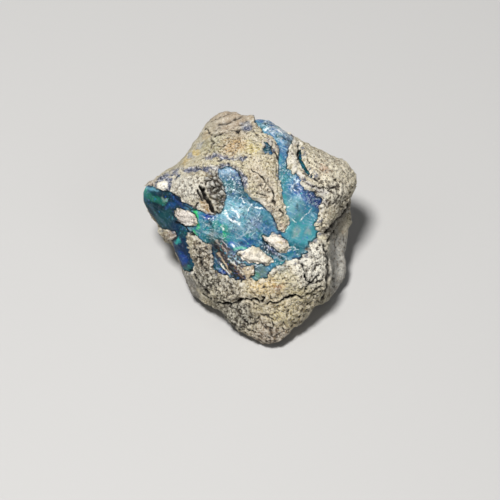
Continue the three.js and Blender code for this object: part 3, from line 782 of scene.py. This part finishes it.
opalLines = [
    ([-194, 62, -176, 54, -162, 48], 5, 50, 2, 20, 13), ([-196, 77, -174, 72], 3.2, 70, 14, 34, 44),
    ([-186, 44, -176, 24, -162, 6], 3, 30, 8, 17, 22), ([-103, 35, -99, 16, -96, 0], 2.8, 90, 3, 50, 10),
    ([-104, -6, -100, -14], 3, 85, 4, 45, 16), ([-54, 4, -49, -10, -47, -22], 2.2, 70, 3, 45, 18),
    ([-28, -39, -16, -37, -5, -39], 2.5, 85, 5, 40, 22), ([-36, -46, -14, -44, 6, -46], 3, 80, 2, 4, 12),
    ([-64, -28, -61, -46, -59, -66], 2.2, 90, 0.6, 0.8, 1), ([-63, -24, -50, -36, -43, -47], 1.6, 85, 40, 33, 28),
    ([-57, -26, -46, -38, -38, -50], 1.2, 85, 3, 2.5, 3), ([-52, -24, -42, -36], 1, 80, 50, 47, 46),
    ([-60, -48, -52, -60, -44, -71, -37, -85], 1.6, 90, 42, 33, 22),
    ([-53, -68, -46, -78, -39, -87], 1.2, 90, 74, 70, 60), ([-61, -60, -52, -74, -44, -86], 1.4, 90, 0.6, 0.8, 1.2),
    ([-56, -44, -42, -62, -28, -80, -13, -98], 4.2, 95, 2.2, 1.5, 1.5),
    ([-29, -74, -20, -86, -11, -96], 1.6, 80, 20, 13, 10),
    ([-42, -58, -24, -70, 0, -73, 12, -69], 1.3, 85, 62, 60, 58),
    ([-32, -68, -20, -76, -12, -86], 1.3, 80, 40, 30, 22), ([-38, -52, -22, -62, 0, -66], 1, 70, 30, 40, 52),
    ([-34, -32, -30, -35], 2.2, 80, 60, 70, 76), ([-21, -62, -19, -65], 2, 80, 62, 72, 78),
    ([-49, -87, -40, -94, -32, -99], 1.6, 80, 46, 58, 66),
    ([44, -47, 54, -50, 65, -45, 76, -41], 1.4, 85, 62, 62, 70), ([33, -34, 42, -41], 1.2, 80, 50, 50, 60),
    ([16, 210, 34, 207, 49, 199, 65, 186, 79, 174, 86, 166], 3, 90, 66, 67, 64),
    ([22, 190, 30, 200, 38, 206], 1.4, 70, 60, 68, 76), ([36, 188, 50, 189, 62, 182], 1.2, 70, 60, 68, 74),
    ([46, 180, 56, 170, 62, 156], 1.4, 60, 50, 60, 70), ([78, 76, 92, 88], 1.2, 80, 66, 74, 80),
    ([76, 68, 86, 84], 1, 70, 60, 70, 78), ([50, 172, 66, 166, 80, 160], 2, 85, 3, 4, 5),
    ([24, 172, 40, 180, 56, 186], 2, 60, 55, 64, 74), ([32, 186, 44, 174], 1.6, 60, 60, 68, 76),
    ([45, 22, 48, 4, 57, -10], 3.5, 85, 0.8, 2, 5), ([14, -39, 34, -26, 42, -34, 45, -46], 4, 85, 1, 2, 7),
    ([135, 34, 129, 16, 125, 2], 3.5, 90, 0.5, 1, 2), ([82, -61, 94, -56, 104, -51], 2.5, 85, 0.5, 2, 3),
    ([-24, -20, -12, -13, 0, -3, 6, 9, 15, 18], 1.6, 50, 50, 60, 70),
    ([-9, 22, -3, 9, 0, -3, -1, -16], 1.4, 50, 50, 60, 72), ([-16, 46, -6, 34], 2, 60, 50, 64, 74),
]
# Painted highlights, white strokes and glints: line, half-width
paintedHighlightLines = [
    ([-47, 30, -41, 19, -32, 13, -19, 8], 2.6), ([-34, 35, -28, 31, -21, 22], 2.6), ([-4, 30, 0, 37, 3, 43], 1.3),
    ([10, 38, 22, 37], 1), ([-53, 2, -50, -4], 1.6), ([-15, 53, -10, 48], 1.3), ([115, 33, 105, 23, 94, 12], 0.8),
    ([86, 11, 79, 16], 0.8), ([68, -39, 79, -35], 1), ([-33, -31, -30, -34], 1.4), ([30, 184, 38, 190], 1.2),
    ([52, 184, 60, 176], 1.2),
]
# Colours of the folded layers, from the lowest to the highest
foldColours = [
    (2, 1.6, 1.6), (0.6, 0.6, 0.7), (1, 5, 6), (8, 5.5, 4), (1, 1, 1.4), (15, 11, 8), (1, 1.4, 2.8), (40, 36, 30),
]


def colourOfOpal(points, fold, foldTone):
    ragged = stir(points, 0.45, 1.5, 121, 4)
    colour = paint(ragged, opalBase, opalZones)
    tone = np.clip(0.5 + 0.6 * foldTone, 0, 1) * (len(foldColours) - 1)
    steps = np.arange(len(foldColours))
    layers = np.stack([np.interp(tone, steps, channel) for channel in zip(*foldColours)], axis=1) / 100
    colour = colour + (layers - colour) * (0.85 * fold)[:, None]
    return paintLines(stir(points, 0.26, 0.7, 131), colour, opalLines)


def openPatch():  # the quads whose corners all lie in the opal, with no two meeting at a corner alone
    chosen = opalQuads[(opalBared[opalQuads] > opalRelief["patchShare"]).all(axis=1)]
    while True:
        sides = sidesOf(chosen)
        keys, counts = np.unique(np.sort(sides, axis=1), axis=0, return_counts=True)
        rim = keys[counts == 1]
        pinched = np.bincount(rim.ravel(), minlength=len(opalWays)) > 2
        if not pinched.any():
            return chosen, sides, rim
        chosen = chosen[~pinched[chosen].any(axis=1)]


def closedSlab(top, bottom, quads, sides, rim):  # the patch with its underside and walls
    used = np.unique(quads)
    place = np.full(len(opalWays), -1)
    place[used] = np.arange(len(used))
    rimKeys = set(map(tuple, rim.tolist()))
    walls = place[np.array([side for side in sides.tolist() if tuple(sorted(side)) in rimKeys])]
    upper = place[quads]
    lower = len(used)
    wallFaces = np.stack([walls[:, 1], walls[:, 0], walls[:, 0] + lower, walls[:, 1] + lower], 1)
    faces = np.concatenate([upper, upper[:, ::-1] + lower, wallFaces])
    return np.concatenate([top[used], bottom[used]]), faces, used


def makeOpal():
    bare = drawnIn(opalWays * (opalSkin - crust["ledge"])[:, None])
    normals = pointNormals(bare, opalQuads)
    ridge = mostOf(bare, ridgeZones) * slantingTone(bare, -20, 20, opalRelief["ridgeTurn"], 0.55, 4.2, 141)
    fold = mostOf(stir(bare, 0.3, 1.2, 144, 3), foldZones)
    foldTone = slantingTone(bare, -39, -62, -53, 0.5, 6, 151)
    cracks = fractureDepth(bare)
    top = bare + normals * (reliefOfOpal(bare, ridge, fold, foldTone) - opalRelief["crackShare"] * cracks)[:, None]
    bottom = bare - opalWays * crust["opalDepth"]
    points, faces, used = closedSlab(top, bottom, *openPatch())
    ruffled = stir(bare, 0.3, 0.8, 155)
    values = {
        "crack": np.clip(cracks / 0.5, 0, 1),
        "rockAway": borderDistance(opalWays, opalSkin, opalEdges, opalBared),
        "ridge": ridge,
        "clear": np.maximum(mostOf(bare, clearZones), fold),
        # where the white painted highlights go
        "paintedHighlight": np.max([lineShare(ruffled, line, width, 0.5, 1.4) for line, width in paintedHighlightLines], axis=0),
        "crinkled": mostOf(stir(bare, 0.6, 2, 149), crinkleZones),
        "glitter": mostOf(stir(bare, 0.4, 1.3, 147), glitterZones),
    }
    values = {key: np.tile(numbers[used], 2) for key, numbers in values.items()}
    tint = colourOfOpal(bare[used], fold[used], foldTone[used])
    return points, faces, values, np.tile(tint, (2, 1))


# Materials

class Nodes:  # a node tree in the making, the colours it has by name, and the colour laid down in it so far
    def __init__(self, tree, look=None):
        self.tree = tree
        self.look = look

    def put(self, value, socket):
        if isinstance(value, bpy.types.NodeSocket):
            self.tree.links.new(value, socket)
        else:
            socket.default_value = value

    def add(self, kind, inputs=None, **settings):
        made = self.tree.nodes.new(kind)
        for key, value in settings.items():
            setattr(made, key, value)
        for key, value in (inputs or {}).items():
            self.put(value, made.inputs[key])
        return made

    def maths(self, operation, *values):
        return self.add("ShaderNodeMath", dict(enumerate(values)), operation=operation).outputs[0]

    def times(self, product, *others):
        for value in others:
            product = self.maths("MULTIPLY", product, value)
        return product

    def vector(self, operation, *values):
        return self.add("ShaderNodeVectorMath", dict(enumerate(values)), operation=operation).outputs[0]

    def ramp(self, value, low, high, toLow=0.0, toHigh=1.0):
        inputs = dict(enumerate((value, low, high, toLow, toHigh)))
        return self.add("ShaderNodeMapRange", inputs, interpolation_type="SMOOTHSTEP").outputs[0]

    def mix(self, share, under, over):
        inputs = {0: share, 6: under, 7: (*self.look[over], 1) if isinstance(over, str) else over}
        return self.add("ShaderNodeMix", inputs, data_type="RGBA").outputs[2]

    def lay(self, colour, *shares):  # over what is there, by its shares multiplied
        self.colour = self.mix(self.times(*shares), self.colour, colour)

    def given(self, name, output="Fac"):
        return self.add("ShaderNodeAttribute", attribute_name=name).outputs[output]

    def noise(self, place, scale, detail=3.0, rough=0.55, output=0):
        inputs = {"Vector": place, "Scale": scale, "Detail": detail, "Roughness": rough}
        return self.add("ShaderNodeTexNoise", inputs).outputs[output]

    def voronoi(self, place, scale, feature="F1"):
        return self.add("ShaderNodeTexVoronoi", {"Vector": place, "Scale": scale}, feature=feature).outputs

    def cells(self, place, scale):  # distance, and each cell's own red, green and blue
        made = self.voronoi(place, scale)
        return made["Distance"], self.add("ShaderNodeSeparateColor", {0: made["Color"]}).outputs

    def mapped(self, place, location=(0, 0, 0), turn=(0, 0, 0), scale=(1, 1, 1)):
        inputs = {"Vector": place, "Location": location, "Rotation": turn, "Scale": scale}
        return self.add("ShaderNodeMapping", inputs, vector_type="TEXTURE").outputs[0]

    def facePlace(self):  # millimetres in the face frame
        place = self.add("ShaderNodeTexCoord").outputs["Object"]
        return self.mapped(place, (0, 0, face["centreHeight"]), (math.radians(face["tilt"]), 0, 0), (0.001,) * 3)

    def wandered(self, place, scale, amount):  # the place moved about by noise, for ragged edges
        centred = self.vector("SUBTRACT", self.noise(place, scale, 3.0, 0.6, "Color"), (0.5,) * 3)
        return self.vector("ADD", place, self.vector("MULTIPLY", centred, (amount,) * 3))

    def slanted(self, place, turn, length, thickness):  # draws noise out into streaks
        return self.mapped(place, turn=(0, 0, math.radians(turn)), scale=(length, thickness, thickness))

    def colours(self, value, stops):
        made = self.add("ShaderNodeValToRGB", {0: value})
        elements = made.color_ramp.elements
        while len(elements) < len(stops):
            elements.new(0.5)
        for element, (position, tint) in zip(elements, stops):
            element.position = position
            element.color = (*tint, 1)
        return made.outputs[0]


def newMaterial(name, finish, look=None):
    material = bpy.data.materials.new(name)
    material.use_nodes = True
    shader = material.node_tree.nodes["Principled BSDF"]
    for key, value in finish.items():
        shader.inputs[key].default_value = value
    return material, Nodes(material.node_tree, look), shader


def wearColour(n, shader, height, strength, depth):
    n.put(n.colour, shader.inputs["Base Color"])
    bump = n.add("ShaderNodeBump", {"Height": height, "Strength": strength, "Distance": depth})
    n.put(bump.outputs[0], shader.inputs["Normal"])


rockLook = {
    "pale": (0.82, 0.78, 0.68),
    "white": (0.88, 0.86, 0.80),
    "brown": (0.24, 0.17, 0.09),
    "rust": (0.36, 0.19, 0.06),
    "grey": (0.20, 0.19, 0.16),
    # the next colour darkens the gaps between grains, and as painted shade the hollows
    "gap": (0.05, 0.04, 0.032),
    "dark": (0.014, 0.012, 0.011),
    "opalStain": (0.10, 0.12, 0.19),
    "seam": [
        (0.4, (0.01, 0.013, 0.022)), (0.48, (0.06, 0.08, 0.14)),
        (0.54, (0.24, 0.25, 0.32)), (0.62, (0.76, 0.77, 0.78)),
    ],
    "grainsPerMm": 3.3,
    "specksPerMm": 2.3,
    "bump": 0.00028,
}


def rockMaterial():
    look = rockLook
    finish = {"Roughness": 0.85, "IOR": 1.5, "Specular IOR Level": 0.3}
    material, n, shader = newMaterial("tanHostRock", finish, look)
    place = n.facePlace()
    stirred = n.wandered(place, 2.0, 0.4)
    bareness = n.ramp(n.given("smooth"), 0.1, 0.9, 1.0, 0.45)  # speckle fades in the smooth zones
    n.colour = n.given("tint", "Color")
    pale = n.mix(0.6, n.colour, "pale")
    white = n.mix(0.7, n.colour, "white")
    mottle = n.noise(place, 0.42, 5.0, 0.7)
    n.lay(pale, n.ramp(mottle, 0.54, 0.68, 0, 0.5))
    n.lay("grey", n.ramp(mottle, 0.46, 0.32, 0, 0.6))
    rusty = n.noise(n.wandered(place, 0.9, 1.5), 0.8, 4.0, 0.7)
    n.lay("rust", n.ramp(rusty, 0.6, 0.74, 0, 0.5))
    # Grains: pale and brown ones, dark gaps between them and dark minerals.
    grainAway, tone = n.cells(stirred, look["grainsPerMm"])
    n.lay(pale, n.ramp(tone[0], 0.5, 1.0, 0, 0.85), bareness)
    n.lay("brown", n.ramp(tone[1], 0.62, 1.0, 0, 0.7), bareness)
    grit = n.noise(stirred, 1.7, 6.0, 0.8)
    n.lay(white, n.ramp(grit, 0.54, 0.61, 0, 0.85), bareness)
    n.lay("gap", n.ramp(grit, 0.455, 0.395, 0, 0.95), bareness)
    coarse = n.noise(stirred, 1.25, 4.0, 0.65)
    gritty = n.given("gritty")
    n.lay(pale, gritty, n.ramp(coarse, 0.51, 0.56, 0, 0.95))
    n.lay("gap", gritty, n.ramp(coarse, 0.48, 0.43, 0, 0.95))
    n.lay("gap", n.given("score"), 0.75)
    speckAway, tone = n.cells(stirred, look["specksPerMm"])
    chosen = n.maths("GREATER_THAN", tone[0], 0.45)
    n.lay("dark", chosen, n.ramp(speckAway, 0.18, 0.28, 0.95, 0), bareness)
    # Painted shade: the hollows darkened and the cracks painted near-black. Painted light: what stands out made
    # paler.
    hollow = n.given("hollow")
    n.lay("gap", n.ramp(hollow, 0.03, 0.13, 0, 0.9))
    n.lay(pale, n.ramp(hollow, -0.12, -0.01, 0.35, 0))
    n.lay("dark", n.given("crack"))
    # Bluish stains along the opal and in the seams.
    edge = n.ramp(n.given("opalAway"), 0.1, 0.7, 0.75, 0)
    patchy = n.noise(place, 0.7, 4.0)
    n.lay(white, edge, n.ramp(patchy, 0.5, 0.42))
    n.lay("opalStain", edge, n.ramp(patchy, 0.56, 0.64))
    patchy = n.ramp(n.noise(place, 0.5, 4.0, 0.65), 0.4, 0.52, 0.4, 0.95)
    n.lay(n.colours(grit, look["seam"]), n.given("seam"), patchy)
    height = n.maths("ADD", n.noise(place, 5.0, 4.0, 0.7), n.times(grainAway, -0.8))
    wearColour(n, shader, height, n.times(bareness, 0.8), look["bump"])
    return material


opalLook = {
    "playColours": [
        (0.0, (0.012, 0.05, 0.46)), (0.25, (0.02, 0.18, 0.50)), (0.45, (0.02, 0.36, 0.38)),
        (0.65, (0.03, 0.42, 0.18)), (0.8, (0.14, 0.13, 0.46)), (1.0, (0.01, 0.12, 0.22)),
    ],
    "milky": (0.42, 0.57, 0.66),
    "dust": (0.70, 0.78, 0.82),
    "dark": (0.005, 0.008, 0.012),
    "night": (0.008, 0.02, 0.05),
    "deep": (0.010, 0.065, 0.10),
    "facet": (0.48, 0.68, 0.74),
    # the next colour is the white of the painted highlights
    "paintedHighlight": (0.88, 0.92, 0.92),
    "facets": ((-31, 0.8, 0.36), (40, 0.7, 0.26)),  # turn in degrees, length, thickness
    "streakTurn": -31,
    "scratchTurn": 38,
    "sparksPerMm": 4.4,
    "playPerMm": 0.7,
    "flecksPerMm": 3.4,
    "dustPerMm": 1.9,
    "bump": 0.00022,
}


def opalMaterial():
    look = opalLook
    finish = {
        "Roughness": 0.2, "IOR": 1.32, "Specular IOR Level": 0.25,
        "Coat Weight": 0.12, "Coat Roughness": 0.08, "Coat IOR": 1.4,
        "Subsurface Weight": 0.2, "Subsurface Scale": 0.0006, "Subsurface Radius": (0.4, 0.8, 1.0),
    }
    material, n, shader = newMaterial("blueGreenOpal", finish, look)
    place = n.facePlace()
    milkiness = n.ramp(n.given("clear"), 0.2, 0.8, 1, 0.12)  # low in dark glass and folded layers
    n.colour = n.given("tint", "Color")
    # Play of colour: soft patches of one hue each, and small bright flecks.
    _, hue = n.cells(n.wandered(place, 0.8, 1.4), look["playPerMm"])
    n.lay(n.colours(hue[0], look["playColours"]), hue[1], 0.2, milkiness)
    _, tone = n.cells(n.wandered(place, 1.8, 0.5), look["flecksPerMm"])
    n.lay(n.colours(tone[0], look["playColours"]), n.ramp(tone[1], 0.86, 0.98, 0, 0.5))
    # Depth: darker clouds, and milky streaks that slant down to the right.
    cloud = n.noise(n.wandered(place, 0.9, 1.0), 0.5, 5.0, 0.6)
    n.lay("dark", n.ramp(cloud, 0.48, 0.3, 0, 0.75), milkiness)
    streaks = n.noise(n.slanted(n.wandered(place, 0.5, 1.2), look["streakTurn"], 4.0, 0.5), 1.0, 4.0, 0.65)
    streak = n.ramp(n.maths("ADD", streaks, n.times(n.given("ridge"), 0.2)), 0.5, 0.7)
    n.lay("milky", streak, 0.55, milkiness)
    # Crinkled facets that lie the same way, pale and dark ones.
    crowded = n.ramp(n.noise(n.wandered(place, 0.9, 1.0), 0.45), 0.42, 0.6, 0.25, 1)
    crinkled = n.times(n.given("crinkled"), crowded)
    for turn, length, thickness in look["facets"]:
        _, facets = n.cells(n.slanted(n.wandered(place, 1.3, 0.9), turn, length, thickness), 1.0)
        n.lay("facet", crinkled, n.ramp(facets[0], 0.72, 0.98, 0, 0.6))
        n.lay("deep", crinkled, n.ramp(facets[1], 0.66, 0.95, 0, 0.7))
    # Pale dust: specks, and thin broken scratches.
    moteAway, tone = n.cells(place, look["dustPerMm"])
    mote = n.times(n.maths("GREATER_THAN", tone[0], 0.84), n.ramp(moteAway, 0.12, 0.24, 0.75, 0))
    n.lay("dust", mote, milkiness)
    # Glitter: a crowd of pale and dark specks where the opal is finely broken.
    _, sparks = n.cells(n.wandered(place, 2.0, 0.3), look["sparksPerMm"])
    glitter = n.given("glitter")
    n.lay("dust", glitter, n.ramp(sparks[0], 0.74, 0.9, 0, 0.85))
    n.lay("night", glitter, n.ramp(sparks[1], 0.72, 0.9, 0, 0.85))
    lain = n.slanted(n.wandered(place, 0.4, 0.8), look["scratchTurn"], 5.0, 1.5)
    scratch = n.ramp(n.voronoi(lain, 1.0, "DISTANCE_TO_EDGE")["Distance"], 0.006, 0.03, 1, 0)
    n.lay("dust", scratch, n.ramp(n.noise(place, 0.6, 2.0), 0.56, 0.66), 0.6, milkiness)
    grit = n.noise(place, 3.0, 4.0, 0.7)
    # Painted highlights: white strokes on the dome and glints elsewhere, broken up by noise.
    n.lay("paintedHighlight", n.given("paintedHighlight"), n.ramp(grit, 0.4, 0.54, 0.15, 0.9))
    # Painted shade: dark rims against the rock, here and there, where the rock's edge stands over the opal, and the
    # cracks painted near-black.
    rim = n.ramp(n.maths("ADD", n.given("rockAway"), n.times(grit, 0.5)), 0.25, 0.65, 0.95, 0)
    n.lay("dark", rim, n.ramp(n.noise(place, 0.45), 0.4, 0.54, 0.5, 1))
    n.lay("dark", n.given("crack"))
    dull = n.maths("ADD", n.noise(place, 1.2, 4.0, 0.65), n.times(mote, 0.3))
    dull = n.maths("MAXIMUM", n.ramp(dull, 0.4, 0.72, 0.14, 0.5), n.ramp(milkiness, 0, 1, 0.6, 0))
    n.put(dull, shader.inputs["Roughness"])
    height = n.maths("ADD", n.noise(place, 1.6, 6.0, 0.6), n.times(streak, 0.25))
    wearColour(n, shader, height, 0.5, look["bump"])
    return material


print("stone: host rock")
rockSurface = rockMaterial()
rockPiece = buildPiece("rockPiece", rockSurface, *makeRock())
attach(rockPiece, "root")
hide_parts("host_rock")

print("stone: opal")
opalPiece = buildPiece("opalPiece", opalMaterial(), *makeOpal())
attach(opalPiece, "root")
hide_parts("opal")


# Loose crumbs that stand on the rock

crumbs = {
    "Per square metre": 900000.0,
    "Smallest": 0.00007,
    "Largest": 0.00019,
    "Seed": 5,
}


def crumbTree():
    tree = bpy.data.node_groups.new("rockCrumbs", "GeometryNodeTree")
    tree.interface.new_socket("Geometry", in_out="INPUT", socket_type="NodeSocketGeometry")
    for name, value in crumbs.items():
        kind = "NodeSocketInt" if isinstance(value, int) else "NodeSocketFloat"
        tree.interface.new_socket(name, in_out="INPUT", socket_type=kind).default_value = value
    tree.interface.new_socket("Geometry", in_out="OUTPUT", socket_type="NodeSocketGeometry")
    n = Nodes(tree)

    def anyVector(low, high):
        inputs = {0: (low,) * 3, 1: (high,) * 3}
        return n.add("FunctionNodeRandomValue", inputs, data_type="FLOAT_VECTOR").outputs[0]

    asked = n.add("NodeGroupInput").outputs
    share = n.add("GeometryNodeInputNamedAttribute", {"Name": "grainShare"}, data_type="FLOAT").outputs[0]
    scatter = n.add("GeometryNodeDistributePointsOnFaces", {
        "Mesh": asked["Geometry"], "Density": n.times(share, asked["Per square metre"]), "Seed": asked["Seed"],
    })
    crumb = n.add("GeometryNodeMeshIcoSphere", {"Radius": 1.0, "Subdivisions": 1}).outputs[0]
    jagged = n.add("GeometryNodeSetPosition", {"Geometry": crumb, "Offset": anyVector(-0.22, 0.22)})
    size = n.add("FunctionNodeRandomValue", {2: asked["Smallest"], 3: asked["Largest"]}, data_type="FLOAT")
    inputs = {0: anyVector(0.6, 1.2), "Scale": size.outputs[1]}
    scale = n.add("ShaderNodeVectorMath", inputs, operation="SCALE")
    placed = n.add("GeometryNodeInstanceOnPoints", {
        "Points": scatter.outputs[0], "Instance": jagged.outputs[0],
        "Rotation": anyVector(0, 6.28), "Scale": scale.outputs[0],
    })
    real = n.add("GeometryNodeRealizeInstances", {0: placed.outputs[0]})
    painted = n.add("GeometryNodeSetMaterial", {"Geometry": real.outputs[0], "Material": rockSurface})
    n.add("NodeGroupOutput", {0: painted.outputs[0]})
    return tree


def makeCrumbs():
    bed = rockPiece.copy()
    bpy.context.scene.collection.objects.link(bed)
    modifier = bed.modifiers.new("crumbs", "NODES")
    modifier.node_group = crumbTree()
    for item in modifier.node_group.interface.items_tree:
        if item.in_out == "INPUT" and item.name in crumbs:
            modifier[item.identifier] = crumbs[item.name]
    mesh = bpy.data.meshes.new_from_object(bed.evaluated_get(bpy.context.evaluated_depsgraph_get()))
    bed.modifiers.remove(modifier)
    bpy.data.objects.remove(bed)
    mesh.vertices.foreach_set("co", keepInside(readPoints(mesh)).ravel())
    mesh.update()
    return addPiece("rockCrumbs", mesh)


print("stone: crumbs")
crumbPiece = makeCrumbs()
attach(crumbPiece, "root")


# Floor, lights and camera

studio = {
    "floor": (0.48, 0.48, 0.48),
    "floorReach": 1.5,            # metres
    "world": (0.85, 0.88, 0.92),
    "worldStrength": 0.11,
    "target": (0, -4.18, -1),     # face frame, where the camera looks
    "lens": 200,
    "viewWidth": 95,              # millimetres across the picture at the target
    "lights": {
        # name: (towards the light, in the face frame), distance and size in metres, watts, colour
        "key": ((-0.2, 0.48, 1.0), 0.6, 0.12, 4.9, (1.0, 0.98, 0.95)),
        "left": ((-1.0, 0.3, 0.9), 0.7, 0.25, 0.2, (0.95, 0.97, 1.0)),
        "right": ((1.0, 0.1, 1.0), 0.7, 0.3, 0.4, (1.0, 0.98, 0.95)),
    },
}


def aimed(name, data, towards, distance):  # looks at the target from that way off
    target = faceToRow @ Vector(studio["target"])
    turn = Matrix.Rotation(math.radians(face["tilt"]), 3, "X")
    thing = bpy.data.objects.new(name, data)
    thing.location = target + turn @ Vector(towards).normalized() * distance
    thing.rotation_euler = (target - thing.location).to_track_quat("-Z", "Y").to_euler()
    bpy.context.scene.collection.objects.link(thing)
    return thing


def makeStudio():
    scene = bpy.context.scene
    lens = bpy.data.cameras.new("camera")
    lens.lens = studio["lens"]
    lens.clip_start = 0.01
    distance = studio["viewWidth"] * 0.001 * studio["lens"] / lens.sensor_width
    scene.camera = aimed("camera", lens, (0, 0, 1), distance)
    for name, (towards, away, size, watts, colour) in studio["lights"].items():
        light = bpy.data.lights.new(name, "AREA")
        light.shape = "DISK"
        light.size = size
        light.energy = watts
        light.color = colour
        aimed(name, light, towards, away)
    scene.view_settings.view_transform = "Standard"
    scene.world = bpy.data.worlds.new("studio")
    scene.world.use_nodes = True
    background = scene.world.node_tree.nodes["Background"]
    background.inputs[0].default_value = (*studio["world"], 1)
    background.inputs[1].default_value = studio["worldStrength"]


def makeFloor():
    half = studio["floorReach"]
    mesh = bpy.data.meshes.new("floor")
    mesh.from_pydata([(-half, -half, 0), (half, -half, 0), (half, half, 0), (-half, half, 0)], [], [(0, 1, 2, 3)])
    material, _, _ = newMaterial("paleFloor", {"Roughness": 0.6, "Base Color": (*studio["floor"], 1)})
    mesh.materials.append(material)
    addPiece("floor", mesh)


print("stone: floor, lights and camera")
makeFloor()
makeStudio()
